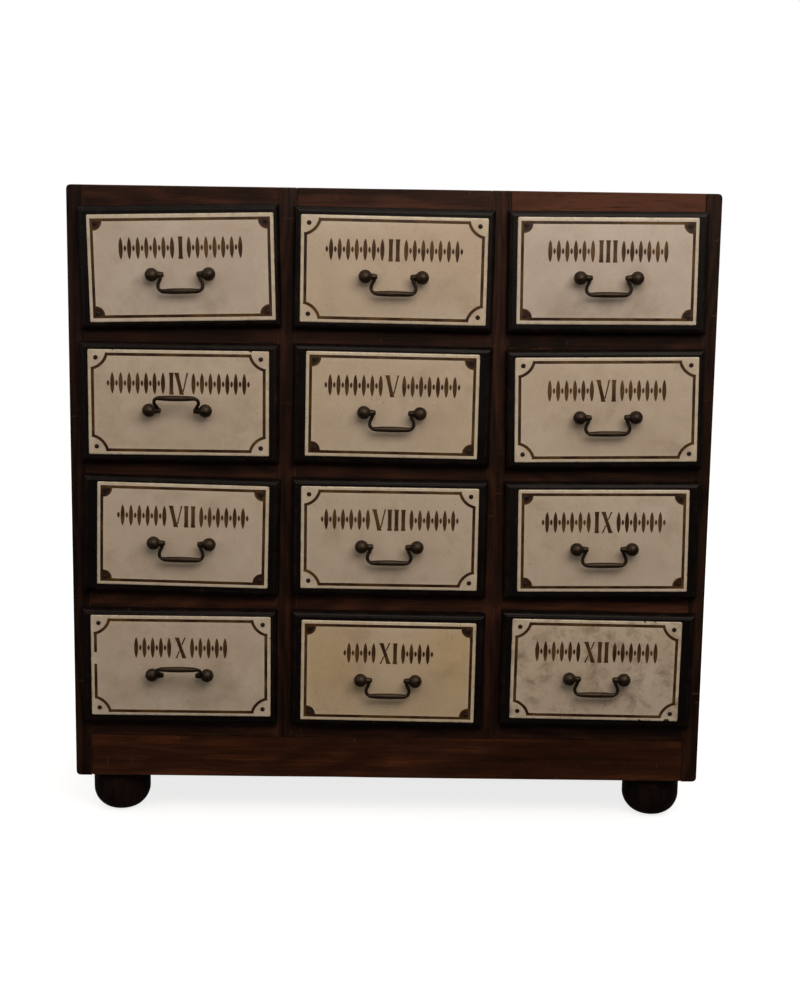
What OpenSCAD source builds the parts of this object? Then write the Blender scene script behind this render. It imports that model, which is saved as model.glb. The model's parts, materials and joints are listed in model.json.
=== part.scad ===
// Apothecary cabinet: twelve drawers in a housed and tenoned wooden case on bun feet.
// Each drawer has a moulded front, an enamelled plate and a drop bail between two ball posts.
// X runs to the right, Y to the back and Z up. The front of the cabinet faces -Y.
// The origin is on the floor, in the middle of the whole cabinet, handles included.

/* [Case] */
// Outside width across the two side panels
case_w = 802; // [780:2:860]
// Depth of the case, from its face to its back
case_d = 360; // [320:5:450]
// Thickness of a side panel
side_t = 20; // [17:1:21]
// Thickness of an upright partition
partition_t = 24; // [20:1:26]
// Thickness of the top board and of the bottom board
board_t = 18; // [15:1:20]
// Thickness of the back planks
back_t = 12; // [8:1:14]
// Height of a front rail
rail_h = 25; // [22:1:30]
// Height of the topmost front rails
top_rail_h = 26.5; // [22:0.5:30]
// Depth of a front rail, from its face to its back edge
rail_d = 40; // [30:1:60]
// Height of the plinth board under the bottom rail
plinth_h = 55; // [45:1:70]
// Distance that the plinth board stands behind the face of the case
plinth_set_back = 2; // [1:0.5:6]
// Radius on the long outer edges of the side panels
edge_round = 6; // [3:0.5:8]

/* [Feet] */
// Height of a bun foot
foot_h = 58; // [45:1:70]
// Radius of a bun foot at its widest
foot_r = 37; // [30:1:38]
// Radius of the rounded lower edge of a bun foot
foot_round = 29; // [20:1:29]
// Distance from the outside of the case to the middle of a foot, both ways
foot_inset = 51; // [48:1:58]

/* [Drawers] */
// Height of a drawer opening
opening_h = 142; // [132:1:150]
// Depth of a drawer box, from the face of the case to the back of the box
box_d = 330; // [290:5:335]
// Thickness of the drawer sides and back
box_side_t = 12; // [10:1:14]
// Thickness of the dovetailed inner front
inner_front_t = 14; // [13:1:18]
// Thickness of the drawer bottom
box_bottom_t = 6; // [5:0.5:8]
// Clearance between a drawer box and its opening, on each side
side_gap = 2; // [1:0.5:3]

/* [Moulded fronts] */
// Thickness of the moulded front board
front_t = 16; // [14:1:20]
// Distance that the moulded front laps over the opening, on each side
lap_x = 4; // [3:0.5:6]
// Distance that the moulded front laps over the opening, above and below
lap_z = 3.5; // [3:0.5:6]
// Width of the bevel round the moulded front
bevel_w = 5.5; // [3:0.5:6]
// Depth of the bevel round the moulded front
bevel_d = 9; // [5:0.5:11]

/* [Enamelled plates] */
// Height of a plate
plate_h = 130; // [115:1:131]
// Thickness of a plate, dome and all
plate_t = 2.5; // [2:0.5:4]
// Distance from a plate's edges to the middle of a corner screw
screw_inset = 10; // [8:0.5:12]
// Distance that the plates sit above the middle of their fronts
plate_lift = 0; // [0:0.5:3]

/* [Handles] */
// Distance between the middles of the two ball posts
post_span = 69; // [64:0.5:76]
// Distance that the posts sit below the middle of the plate
post_drop = 8; // [4:0.5:12]
// Radius of a ball
ball_r = 8.4; // [6.5:0.1:8.6]
// Distance from the plate to the middle of a ball
ball_out = 13; // [12:0.5:18]
// Drop from the bail's pivot to the middle of its grip
bail_drop = 20; // [18:0.5:24]
// Radius of the bail's wire and of its pins
wire_r = 2.1; // [1.5:0.1:2.3]
// Radius of the grip at its thickest
grip_r = 3.6; // [2.5:0.1:4]

/* [Hidden] */
$fn = 48;
rows = 4;
cols = 3;

// Widths of the hand-cut plates, one row of drawers a line
plate_widths = [
    [227, 228, 221],
    [223, 214, 227],
    [214, 222, 214],
    [227, 221, 215]
];
// Small turns of the hand-hung fronts in degrees, positive with the right end up
front_turns = [
    [1.5, -0.5, 0.5],
    [0, -0.5, 1],
    [-1, -0.2, 0.7],
    [0, -0.5, -0.5]
];
// Where each moulded front sits off the middle of its opening, right and up
front_shifts = [
    [[0, 0], [0, 0], [0, 0]],
    [[-1, 0], [0, 0], [2, -1.5]],
    [[0, 0], [-1, 0], [3.5, 0]],
    [[-2.5, -2], [-1, -3], [3, 0]]
];
// Where each plate sits off the middle of its opening, right and up
plate_shifts = [
    [[3, -1], [0, -0.5], [-1, 2]],
    [[-1.5, 0.5], [0, 1], [3.5, -1]],
    [[2.5, 1.5], [-1, 0.5], [5, 1]],
    [[-1, 0], [-0.5, -4], [1, 1]]
];
// Angles at which the bails rest, from hanging straight down towards the front and up
bail_angles = [
    [0, 0, 0],
    [144, 0, 0],
    [0, 0, 0],
    [126, 0, 0]
];

// Case
case_h = plinth_h + rows * (rail_h + opening_h) + top_rail_h;
total_h = foot_h + case_h;
inner_w = case_w - 2 * side_t;
opening_w = (inner_w - 2 * partition_t) / cols;
col_pitch = opening_w + partition_t;
row_pitch = opening_h + rail_h;
plinth_top = foot_h + plinth_h;
top_under = total_h - board_t;
plinth_t = 18;
rebate_w = 9;
housing = 6;
plank_count = 6;
plank_gap = 0.8;

// Rail tenons, runners and corner blocks
tenon_l = 8;
tenon_h = 15;
tenon_d = 26;
runner_w = 16;
runner_let_in = 4;
block_w = 76;
spigot_r = 9;
spigot_h = 24;
fit_gap = 0.05;

// Nails through the back planks
nail_r = 1.3;
nail_l = 34;
nail_head_r = 3;
nail_head_h = 1;

// Drawer boxes: separate boards keep a small glue gap
glue_gap = 0.1;
slide_gap = 0.3;
box_w = opening_w - 2 * side_gap;
box_h = opening_h - 4;
inner_box_w = box_w - 2 * box_side_t;
groove_up = 8;
groove_d = 5;
back_let_in = 4;
tail_l = 9;
tail_count = 3;
tail_narrow = 18;
tail_flare = 3;
shoulder_y = inner_front_t - slide_gap + glue_gap;

// Moulded fronts and plates
front_w = opening_w + 2 * lap_x;
front_h = opening_h + 2 * lap_z;
front_back_y = -slide_gap;
plate_back_y = front_back_y - front_t;
plate_face_y = plate_back_y - plate_t;
plate_corner_r = 2;
screw_r = 1.5;
screw_l = 12;
screw_head_r = 3;
screw_head_h = 1.2;
screw_slot = 0.7;

// Handles: the bail turns on the X line through both balls
pivot_y = plate_face_y - ball_out;
neck_r = 3.2;
neck_foot_r = 4.6;
neck_foot_h = 1.5;
stud_r = 2;
nut_r = 5;
nut_h = 4;
stud_past_nut = 2;
nut_y = shoulder_y - glue_gap;
stud_end_y = nut_y + nut_h + stud_past_nut;
ball_x = post_span / 2;
pin_depth = 6;
knuckle_r = 4.2;
knuckle_w = 6;
knuckle_x = ball_x - ball_r - knuckle_w / 2 - 0.2;
elbow = [knuckle_x + 4.3, -0.62 * bail_drop];
heel = [knuckle_x + 2.7, -0.9 * bail_drop];
grip_end = [knuckle_x - 3.5, -bail_drop];
joint_over = 0.45;

// The case is set so that the frontmost bail and the back planks are equally far from Y = 0
front_most = max([for (r = [1:rows], c = [1:cols]) bail_reach(bail_angles[r - 1][c - 1])]);
face_y = (front_most - case_d) / 2;

function bail_reach(a) = max(ball_r, bail_drop * sin(a) + grip_r) - pivot_y;
function col_x(c) = (c - (cols + 1) / 2) * col_pitch;
function rail_z(level) = plinth_top + level * row_pitch;
function rail_top(level) = rail_z(level) + (level == rows ? top_rail_h : rail_h);
function opening_z(r) = rail_z(rows - r) + rail_h;
function cell(table, r, c) = table[r - 1][c - 1];

DRAWER_PARTS = ["box", "plate", "posts", "bail"];

// ---------------------------------------------------------------- helpers

// A box given by its lowest and highest corners
module span(lo, hi) {
    translate(lo) cube(hi - lo);
}

// A straight round bar between two points of the XZ plane
module bar_xz(a, b, r) {
    run = b - a;
    translate([a.x, 0, a.y])
        rotate([0, atan2(run.x, run.y), 0])
            cylinder(h = norm(run), r = r);
}

// A cylinder that runs towards +Y from y
module rod_y(y, length, r) {
    translate([0, y, 0])
        rotate([-90, 0, 0])
            cylinder(h = length, r = r);
}

// Children at the lower middle of a drawer opening, on the face of the case
module at_opening(r, c) {
    translate([col_x(c), face_y, opening_z(r)]) children();
}

// Children at the middle of a drawer opening, turned with its moulded front
module at_front(r, c) {
    at_opening(r, c)
        translate([0, 0, opening_h / 2])
            rotate([0, -cell(front_turns, r, c), 0])
                children();
}

// Children at the middle of a plate
module at_plate(r, c) {
    shift = cell(plate_shifts, r, c);
    at_front(r, c)
        translate([shift.x, 0, plate_lift + shift.y])
            children();
}

// Children at the middle of each ball post's axis, on the face of the case
module at_posts(r, c) {
    at_plate(r, c)
        for (s = [-1, 1])
            translate([s * ball_x, 0, -post_drop])
                children();
}

// Children at the four corner screws of a plate
module at_screws(r, c) {
    half_w = cell(plate_widths, r, c) / 2 - screw_inset;
    half_h = plate_h / 2 - screw_inset;
    at_plate(r, c)
        for (sx = [-1, 1], sz = [-1, 1])
            translate([sx * half_w, 0, sz * half_h])
                children();
}

// Children at the middle of each foot, on the floor
module at_feet() {
    for (sx = [-1, 1], y = [face_y + foot_inset, face_y + case_d - foot_inset])
        translate([sx * (case_w / 2 - foot_inset), y, 0])
            children();
}

// Children on the back face at each nail through the planks
module at_nails() {
    plank_w = (inner_w + 2 * rebate_w) / plank_count;
    for (i = [0:plank_count - 1], t = [0.25, 0.75], z = [foot_h + plinth_h - board_t / 2, total_h - board_t / 2])
        translate([(i + t - plank_count / 2) * plank_w, face_y + case_d, z])
            children();
}

// ---------------------------------------------------------------- case

// Mortises for the rail tenons and housings for the runners, cut into both faces of an upright
module upright_cuts(x_faces) {
    for (x = x_faces, level = [0:rows]) {
        z = rail_z(level);
        mid_z = z + rail_h / 2;
        span(
            [x - tenon_l, face_y + (rail_d - tenon_d) / 2, mid_z - tenon_h / 2],
            [x + tenon_l, face_y + (rail_d + tenon_d) / 2, mid_z + tenon_h / 2]
        );
        span(
            [x - runner_let_in, face_y + rail_d, z],
            [x + runner_let_in, face_y + case_d - back_t, min(rail_top(level), top_under)]
        );
    }
}

// Outline of the left side panel from the front, with its outer edges rounded
module side_outline() {
    difference() {
        square([side_t, case_h]);
        square([edge_round, edge_round]);
        translate([0, case_h - edge_round]) square([edge_round, edge_round]);
    }
    for (z = [edge_round, case_h - edge_round])
        translate([edge_round, z]) circle(r = edge_round);
}

module side_panel() {
    inner_x = -inner_w / 2;
    difference() {
        translate([-case_w / 2, face_y + case_d, foot_h])
            rotate([90, 0, 0])
                linear_extrude(case_d)
                    side_outline();
        upright_cuts([inner_x]);
        for (board = [[plinth_set_back + plinth_t, plinth_top - board_t], [rail_d, top_under]])
            span(
                [inner_x - housing, face_y + board[0], board[1]],
                [inner_x + housing, face_y + case_d - back_t, board[1] + board_t]
            );
        span(
            [inner_x - rebate_w, face_y + case_d - back_t, 0],
            [inner_x + housing, face_y + case_d + 1, total_h + 1]
        );
    }
}

module side_left() {
    color("#5a3a2a") side_panel();
}

module side_right() {
    color("#5a3a2a") mirror([1, 0, 0]) side_panel();
}

// Two uprights, each notched at its upper back for the top board
module partitions() {
    color("#54352a")
        for (s = [-1, 1]) {
            mid_x = s * col_pitch / 2;
            difference() {
                span(
                    [mid_x - partition_t / 2, face_y, plinth_top],
                    [mid_x + partition_t / 2, face_y + case_d - back_t, total_h]
                );
                span(
                    [mid_x - partition_t, face_y + rail_d, top_under],
                    [mid_x + partition_t, face_y + case_d, total_h + 1]
                );
                upright_cuts([mid_x - partition_t / 2, mid_x + partition_t / 2]);
            }
        }
}

module top_board() {
    color("#5e3d2b")
        difference() {
            span(
                [-inner_w / 2 - housing, face_y + rail_d, top_under],
                [inner_w / 2 + housing, face_y + case_d - back_t, total_h]
            );
            nail_bores();
        }
}

module bottom_board() {
    color("#6b4a33")
        difference() {
            span(
                [-inner_w / 2 - housing, face_y + plinth_set_back + plinth_t, plinth_top - board_t],
                [inner_w / 2 + housing, face_y + case_d - back_t, plinth_top]
            );
            nail_bores();
        }
}

// One rail with a stub tenon at each end
module front_rail(level) {
    span([-opening_w / 2, 0, 0], [opening_w / 2, rail_d, rail_top(level) - rail_z(level)]);
    span(
        [-opening_w / 2 - tenon_l, (rail_d - tenon_d) / 2, (rail_h - tenon_h) / 2],
        [opening_w / 2 + tenon_l, (rail_d + tenon_d) / 2, (rail_h + tenon_h) / 2]
    );
}

module front_rails() {
    color("#643f2d")
        for (c = [1:cols], level = [0:rows])
            translate([col_x(c), face_y, rail_z(level)])
                front_rail(level);
}

// Strips that the drawer sides run on, and thin strips over the top row that stop it tipping
module drawer_runners() {
    color("#8a6a48")
        for (c = [1:cols], level = [0:rows], s = [-1, 1]) {
            z = rail_z(level);
            outer_x = opening_w / 2 + runner_let_in;
            inner_x = outer_x - runner_w;
            translate([col_x(c), 0, 0])
                span(
                    [min(s * outer_x, s * inner_x), face_y + rail_d, z],
                    [max(s * outer_x, s * inner_x), face_y + case_d - back_t, min(rail_top(level), top_under)]
                );
        }
}

module plinth_board() {
    color("#7a5236")
        span(
            [-inner_w / 2, face_y + plinth_set_back, foot_h],
            [inner_w / 2, face_y + plinth_set_back + plinth_t, plinth_top]
        );
}

module nail_bores() {
    at_nails() rod_y(-nail_l - 1, nail_l + 2, nail_r + fit_gap);
}

module back_planks() {
    total = inner_w + 2 * rebate_w;
    plank_w = total / plank_count;
    color("#7b5d44")
        difference() {
            for (i = [0:plank_count - 1])
                span(
                    [i * plank_w - total / 2 + plank_gap / 2, face_y + case_d - back_t, foot_h],
                    [(i + 1) * plank_w - total / 2 - plank_gap / 2, face_y + case_d, total_h]
                );
            nail_bores();
            at_nails() rod_y(-nail_head_h - fit_gap, 2, nail_head_r + fit_gap);
        }
}

module back_nails() {
    color("#3a3532")
        at_nails() {
            rod_y(-nail_l, nail_l, nail_r);
            rod_y(-nail_head_h, nail_head_h, nail_head_r);
        }
}

// Blocks that tie the plinth, sides and bottom board together and take the foot spigots
module corner_blocks() {
    front_lo = face_y + plinth_set_back + plinth_t;
    back_lo = face_y + case_d - back_t - block_w;
    color("#8a6a48")
        difference() {
            for (s = [-1, 1], y = [front_lo, back_lo])
                translate([s * (inner_w - block_w) / 2, y, foot_h])
                    span([-block_w / 2, 0, 0], [block_w / 2, block_w, plinth_h - board_t]);
            at_feet() cylinder(h = foot_h + spigot_h + 1, r = spigot_r + fit_gap);
        }
}

// Half outline of a bun foot with its spigot
module foot_outline() {
    flat_r = foot_r - foot_round;
    translate([0, foot_round]) square([foot_r, foot_h - foot_round]);
    square([flat_r, foot_h]);
    intersection() {
        translate([flat_r, foot_round]) circle(r = foot_round, $fn = 96);
        square([foot_r, foot_h]);
    }
    square([spigot_r, foot_h + spigot_h]);
}

module bun_feet() {
    color("#2b1d17")
        at_feet()
            rotate_extrude($fn = 96)
                foot_outline();
}

// ---------------------------------------------------------------- drawers

// The dovetails on the front end of a drawer side, grown by grow all round
module tails(grow) {
    pitch = box_h / tail_count;
    for (i = [0:tail_count - 1])
        translate([-box_side_t / 2 - grow, shoulder_y, slide_gap + (i + 0.5) * pitch])
            rotate([90, 0, 90])
                linear_extrude(box_side_t + 2 * grow)
                    polygon([
                        [1, -tail_narrow / 2 - grow],
                        [-tail_l - grow, -tail_narrow / 2 - tail_flare - grow],
                        [-tail_l - grow, tail_narrow / 2 + tail_flare + grow],
                        [1, tail_narrow / 2 + grow]
                    ]);
}

// Holes for the two handle studs, right through the moulded front and the inner front
module stud_bores(r, c) {
    at_posts(r, c) rod_y(plate_back_y - 1, front_t + inner_front_t + 4, stud_r + fit_gap);
}

// The groove that holds the bottom, and the bottom itself when gap is taken off all round
module bottom_panel(gap) {
    lo_z = slide_gap + groove_up + gap;
    span(
        [-inner_box_w / 2 - groove_d + gap, shoulder_y + gap, lo_z],
        [inner_box_w / 2 + groove_d - gap, box_d - gap, lo_z + box_bottom_t - 2 * gap]
    );
    span(
        [-inner_box_w / 2 + glue_gap + gap, shoulder_y - groove_d + gap, lo_z],
        [inner_box_w / 2 - glue_gap - gap, shoulder_y + 1, lo_z + box_bottom_t - 2 * gap]
    );
}

module inner_front(r, c) {
    difference() {
        span(
            [-box_w / 2, front_back_y + glue_gap, slide_gap],
            [box_w / 2, shoulder_y - glue_gap, slide_gap + box_h]
        );
        for (s = [-1, 1])
            translate([s * (box_w - box_side_t) / 2, 0, 0])
                tails(glue_gap);
        bottom_panel(0);
    }
}

module box_side(s) {
    difference() {
        translate([s * (box_w - box_side_t) / 2, 0, 0]) {
            span(
                [-box_side_t / 2, shoulder_y, slide_gap],
                [box_side_t / 2, box_d, slide_gap + box_h]
            );
            tails(0);
        }
        bottom_panel(0);
        back_board(0);
    }
}

// The back board stands on the bottom panel and is let into both sides
module back_board(gap) {
    half_w = inner_box_w / 2 + back_let_in - gap;
    span(
        [-half_w, box_d - 2 * box_side_t + gap, slide_gap + groove_up + box_bottom_t + gap],
        [half_w, box_d - box_side_t - gap, slide_gap + box_h + (gap > 0 ? -gap : 1)]
    );
}

// A board whose four front edges are bevelled and mitred at the corners
module moulded_board() {
    intersection() {
        translate([-front_w / 2, 0, 0])
            rotate([90, 0, 90])
                linear_extrude(front_w)
                    bevel_outline(front_h);
        translate([0, 0, -front_h / 2])
            linear_extrude(front_h)
                rotate(90)
                    mirror([0, 1])
                        bevel_outline(front_w);
    }
}

// Section of the moulded board: X is its depth and Y its height or its width
module bevel_outline(size) {
    half = size / 2;
    face = plate_back_y;
    polygon([
        [front_back_y, -half],
        [face + bevel_d, -half],
        [face, -half + bevel_w],
        [face, half - bevel_w],
        [face + bevel_d, half],
        [front_back_y, half]
    ]);
}

module drawer_box(r, c) {
    color("#9a7850")
        difference() {
            at_opening(r, c) {
                inner_front(r, c);
                box_side(-1);
                box_side(1);
                back_board(glue_gap);
                bottom_panel(glue_gap);
            }
            stud_bores(r, c);
        }
    shift = cell(front_shifts, r, c);
    color("#231a16")
        difference() {
            at_front(r, c) translate([shift.x, 0, shift.y]) moulded_board();
            stud_bores(r, c);
            at_screws(r, c) rod_y(plate_back_y - 1, screw_l + 2, screw_r + fit_gap);
        }
}

// Enamelled plate with small rounded corners
module drawer_plate(r, c) {
    half_w = cell(plate_widths, r, c) / 2 - plate_corner_r;
    half_h = plate_h / 2 - plate_corner_r;
    color("#e9dfcb")
        difference() {
            at_plate(r, c) {
                span([-half_w, plate_face_y, -plate_h / 2], [half_w, plate_back_y, plate_h / 2]);
                span(
                    [-half_w - plate_corner_r, plate_face_y, -half_h],
                    [half_w + plate_corner_r, plate_back_y, half_h]
                );
                for (sx = [-1, 1], sz = [-1, 1])
                    translate([sx * half_w, 0, sz * half_h])
                        rod_y(plate_face_y, plate_t, plate_corner_r);
            }
            at_posts(r, c) rod_y(plate_face_y - 1, plate_t + 2, stud_r + fit_gap);
            at_screws(r, c) rod_y(plate_face_y - 1, plate_t + 2, screw_r + fit_gap);
        }
}

// Ball, neck and stud in one piece, with the bore that the bail's pin turns in
module ball_post(s) {
    difference() {
        union() {
            translate([0, pivot_y, 0]) rotate([0, 0, -90]) sphere(r = ball_r, $fn = 64);
            rod_y(pivot_y, ball_out, neck_r);
            rod_y(plate_face_y - neck_foot_h, neck_foot_h, neck_foot_r);
            rod_y(plate_face_y - 1, stud_end_y - plate_face_y + 1, stud_r);
        }
        translate([0, pivot_y, 0])
            rotate([0, -90 * s, 0])
                translate([0, 0, ball_r - pin_depth - 0.3])
                    cylinder(h = ball_r, r = wire_r + fit_gap);
    }
}

module stud_nut() {
    difference() {
        translate([0, nut_y, 0])
            rotate([-90, 0, 0])
                cylinder(h = nut_h, r = nut_r, $fn = 6);
        rod_y(nut_y - 1, nut_h + 2, stud_r + fit_gap);
    }
}

// Slotted round screw through a corner of the plate
module plate_screw() {
    difference() {
        union() {
            rod_y(plate_face_y - screw_head_h, screw_head_h, screw_head_r);
            rod_y(plate_face_y - 0.5, screw_l, screw_r);
        }
        span(
            [-screw_head_r - 1, plate_face_y - screw_head_h - 1, -screw_slot / 2],
            [screw_head_r + 1, plate_face_y - screw_head_h / 2, screw_slot / 2]
        );
    }
}

module drawer_posts(r, c) {
    color("#4a4038") {
        at_plate(r, c)
            for (s = [-1, 1])
                translate([s * ball_x, 0, -post_drop]) {
                    ball_post(s);
                    stud_nut();
                }
        at_screws(r, c) plate_screw();
    }
}

// Half of the bail on side s, from the middle of its grip to its pin, hanging straight down
module half_bail(s) {
    corners = [for (p = [[knuckle_x, 0], elbow, heel, grip_end]) [s * p.x, p.y]];
    rotate([0, 90 * s, 0]) {
        translate([0, 0, knuckle_x])
            cylinder(h = ball_x - ball_r + pin_depth - knuckle_x, r = wire_r);
        translate([0, 0, knuckle_x - knuckle_w / 2])
            cylinder(h = knuckle_w, r = knuckle_r);
    }
    for (i = [1:3]) {
        bar_xz(corners[i - 1], corners[i], wire_r);
        translate([corners[i].x, 0, corners[i].y]) sphere(r = wire_r + joint_over);
    }
    translate([0, 0, -bail_drop])
        rotate([0, 90 * s, 0])
            cylinder(h = grip_end.x, r1 = grip_r, r2 = wire_r);
}

module drawer_bail(r, c) {
    color("#463b33")
        at_plate(r, c)
            translate([0, pivot_y, -post_drop])
                rotate([-cell(bail_angles, r, c), 0, 0])
                    for (s = [-1, 1])
                        half_bail(s);
}

// ---------------------------------------------------------------- assembly

side_left();
side_right();
partitions();
top_board();
bottom_board();
front_rails();
back_planks();
back_nails();
drawer_runners();
plinth_board();
corner_blocks();
bun_feet();
for (r = [1:rows], c = [1:cols]) {
    drawer = str("drawer_", r, c, "_");
    drawer_box(r, c);
    drawer_plate(r, c);
    drawer_posts(r, c);
    drawer_bail(r, c);
}
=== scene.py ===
import json
from math import atan2, cos, degrees, pi, radians, sin

import bmesh
import bpy
import numpy as np
from mathutils import Matrix, Vector

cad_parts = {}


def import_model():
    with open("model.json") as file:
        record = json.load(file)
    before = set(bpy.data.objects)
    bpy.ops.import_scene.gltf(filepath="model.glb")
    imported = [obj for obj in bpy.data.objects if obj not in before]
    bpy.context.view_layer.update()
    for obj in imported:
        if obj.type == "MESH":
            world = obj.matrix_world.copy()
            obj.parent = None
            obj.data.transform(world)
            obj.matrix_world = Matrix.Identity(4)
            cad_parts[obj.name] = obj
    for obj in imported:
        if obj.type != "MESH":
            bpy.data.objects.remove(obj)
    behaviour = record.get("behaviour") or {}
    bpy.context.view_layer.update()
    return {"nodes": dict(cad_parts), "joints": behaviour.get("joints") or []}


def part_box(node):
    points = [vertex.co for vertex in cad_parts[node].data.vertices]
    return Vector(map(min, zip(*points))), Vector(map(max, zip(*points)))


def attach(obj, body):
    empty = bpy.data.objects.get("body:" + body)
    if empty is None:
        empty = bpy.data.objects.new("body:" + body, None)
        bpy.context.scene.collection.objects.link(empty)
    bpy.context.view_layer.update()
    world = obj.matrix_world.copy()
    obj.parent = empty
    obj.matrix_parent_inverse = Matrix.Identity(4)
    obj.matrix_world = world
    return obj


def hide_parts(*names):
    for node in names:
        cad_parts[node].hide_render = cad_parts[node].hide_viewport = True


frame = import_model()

MM = 0.001
STEP = 45 * MM
CORNERS = (-1, -1), (-1, 1), (1, -1), (1, 1)

# ---- sizes

ROWS, COLS = 4, 3
RAIL_H = 25 * MM
TOP_HOUSING = 6 * MM
JOINT = 0.2 * MM
BACK_T = 12 * MM
BOARD_T = 18 * MM
PLINTH_T = 18 * MM
PLINTH_SET_BACK = 2 * MM
EDGE_ROUND = 6 * MM
REBATE_W = 9 * MM
PLANKS = 6
PLANK_GAP = 1.4 * MM

FRONT_W, FRONT_H, FRONT_T = 246 * MM, 149 * MM, 16 * MM
SLIDE_GAP = 0.3 * MM
BEVEL_W, BEVEL_D = 5.5 * MM, 9 * MM
BOX_SIDE_T = 12 * MM
INNER_FRONT_T = 14 * MM
BOX_BOTTOM_T = 6 * MM
SIDE_GAP = 2 * MM
OPENING_SLACK = 4 * MM
GROOVE_UP = 8 * MM
TAIL_L, TAIL_NARROW, TAIL_FLARE, TAILS = 9 * MM, 18 * MM, 3 * MM, 3

PLATE_H, PLATE_T = 130 * MM, 2.5 * MM
PLATE_CORNER_R = 2 * MM
PLATE_ROLL = 1.0 * MM
PLATE_DOME = 1.25 * MM
SCREW_INSET = 10 * MM
SCREW_R = 2.9 * MM

POST_SPAN, POST_DROP = 69 * MM, 8 * MM
BALL_R, BALL_OUT = 8.4 * MM, 13 * MM
BAIL_DROP = 20 * MM
WIRE_R, GRIP_R = 2.1 * MM, 3.6 * MM
KNUCKLE_X = 22.9 * MM
PAST_HANGING = 20

BORDER_INSET = 5.9 * MM, 5.8 * MM
PAINT_UP, PAINT_DOWN = 0.07 * MM, 0.15 * MM
SCOOP_LINE, SCOOP = 3.7 * MM, 24 * MM
DISC_LINE, DISC, DISC_RING = 3.6 * MM, 14.6 * MM, 2.4 * MM

LABEL_H, LABEL_UP = 27 * MM, 24 * MM
LEAF_PITCH, LEAF_MARGIN = 5.2 * MM, 6 * MM

YAW, PITCH, ROLL = -0.54, -9.11, -0.84

FOOT_R, FOOT_ROUND = 37 * MM, 29 * MM
SPIGOT_R, SPIGOT_L = 9 * MM, 24 * MM

# ---- places, from the frame


def corners(node):
    return [np.array(corner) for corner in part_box(node)]


side_lo, side_hi = corners("side_left")
part_lo, _ = corners("partitions")
rails_lo, rails_hi = corners("front_rails")
FACE_Y, BACK_Y = side_lo[1], side_hi[1]
CASE_HALF = -side_lo[0]
SIDE_T = corners("top_board")[0][0] + TOP_HOUSING - side_lo[0]
INNER_HALF = CASE_HALF - SIDE_T
FOOT_H, TOP_Z = side_lo[2], side_hi[2]
PLINTH_TOP = rails_lo[2]
RAIL_D = rails_hi[1] - rails_lo[1]


def middle(node):
    return sum(corners(node)) / 2


COL_PITCH = middle("drawer_12_box")[0] - middle("drawer_11_box")[0]
ROW_PITCH = middle("drawer_11_box")[2] - middle("drawer_21_box")[2]
PARTITION_T = 2 * (-part_lo[0] - COL_PITCH / 2)
OPENING_W = COL_PITCH - PARTITION_T
OPENING_H = ROW_PITCH - RAIL_H
BOX_BACK = corners("drawer_11_box")[1][1] - FACE_Y


class Drawer:
    """Where one drawer's parts stand, worked out from its box and from its bail's hinge."""

    def __init__(self, row, col):
        self.row, self.col = row, col
        self.name, self.bail_body = f"drawer_{row}{col}", f"bail_{row}{col}"
        hinge = next(j for j in frame["joints"] if j["name"] == f"bail_{row}{col}_hinge")
        axis, pivot = hinge["axis"], Vector(hinge["pos_m"])
        self.turn = atan2(-axis[2], -axis[0])
        self.bail_angle = -hinge["range_deg"][0] - PAST_HANGING
        tilt = Matrix.Rotation(-self.turn, 4, "Y")
        opening_z = PLINTH_TOP + (ROWS - row) * ROW_PITCH + RAIL_H + OPENING_H / 2
        self.opening = Vector(((col - (COLS + 1) / 2) * COL_PITCH, FACE_Y, opening_z))
        mid = middle(f"{self.name}_box")
        self.front = Matrix.Translation((mid[0], FACE_Y, mid[2])) @ tilt
        self.pivot = Matrix.Translation(pivot) @ tilt
        board_face = FACE_Y - SLIDE_GAP - FRONT_T
        centre = pivot + tilt.to_3x3() @ Vector((0, 0, POST_DROP))
        centre.y = board_face
        self.plate = Matrix.Translation(centre) @ tilt
        lo, hi = corners(f"{self.name}_plate")
        flat_h = PLATE_H - 2 * PLATE_CORNER_R
        flat_w = hi[0] - lo[0] - 2 * PLATE_CORNER_R - flat_h * abs(sin(self.turn))
        self.plate_w = flat_w / cos(self.turn) + 2 * PLATE_CORNER_R
        self.quarter_discs = (row + col) % 2 == 0

    def own(self, table):
        return table[self.row - 1][self.col - 1]

    def shape(self, seed):
        return Shape(seed + 10 * self.row + self.col)

    def piece(self, shape, part, material, slot, node=None, at=None, body=None, **look):
        """A piece of this drawer, placed from its plate unless told otherwise."""
        nodes = [f"{self.name}_{node}"] if node else ()
        at = self.plate if at is None else at
        name = f"{self.name}_{part}"
        return shape.piece(name, material, body or self.name, slot, at, nodes, **look)


DRAWERS = [Drawer(r, c) for r in range(1, ROWS + 1) for c in range(1, COLS + 1)]

# ---- shapes


def new_object(name, data):
    obj = bpy.data.objects.new(name, data)
    bpy.context.scene.collection.objects.link(obj)
    return obj


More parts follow.
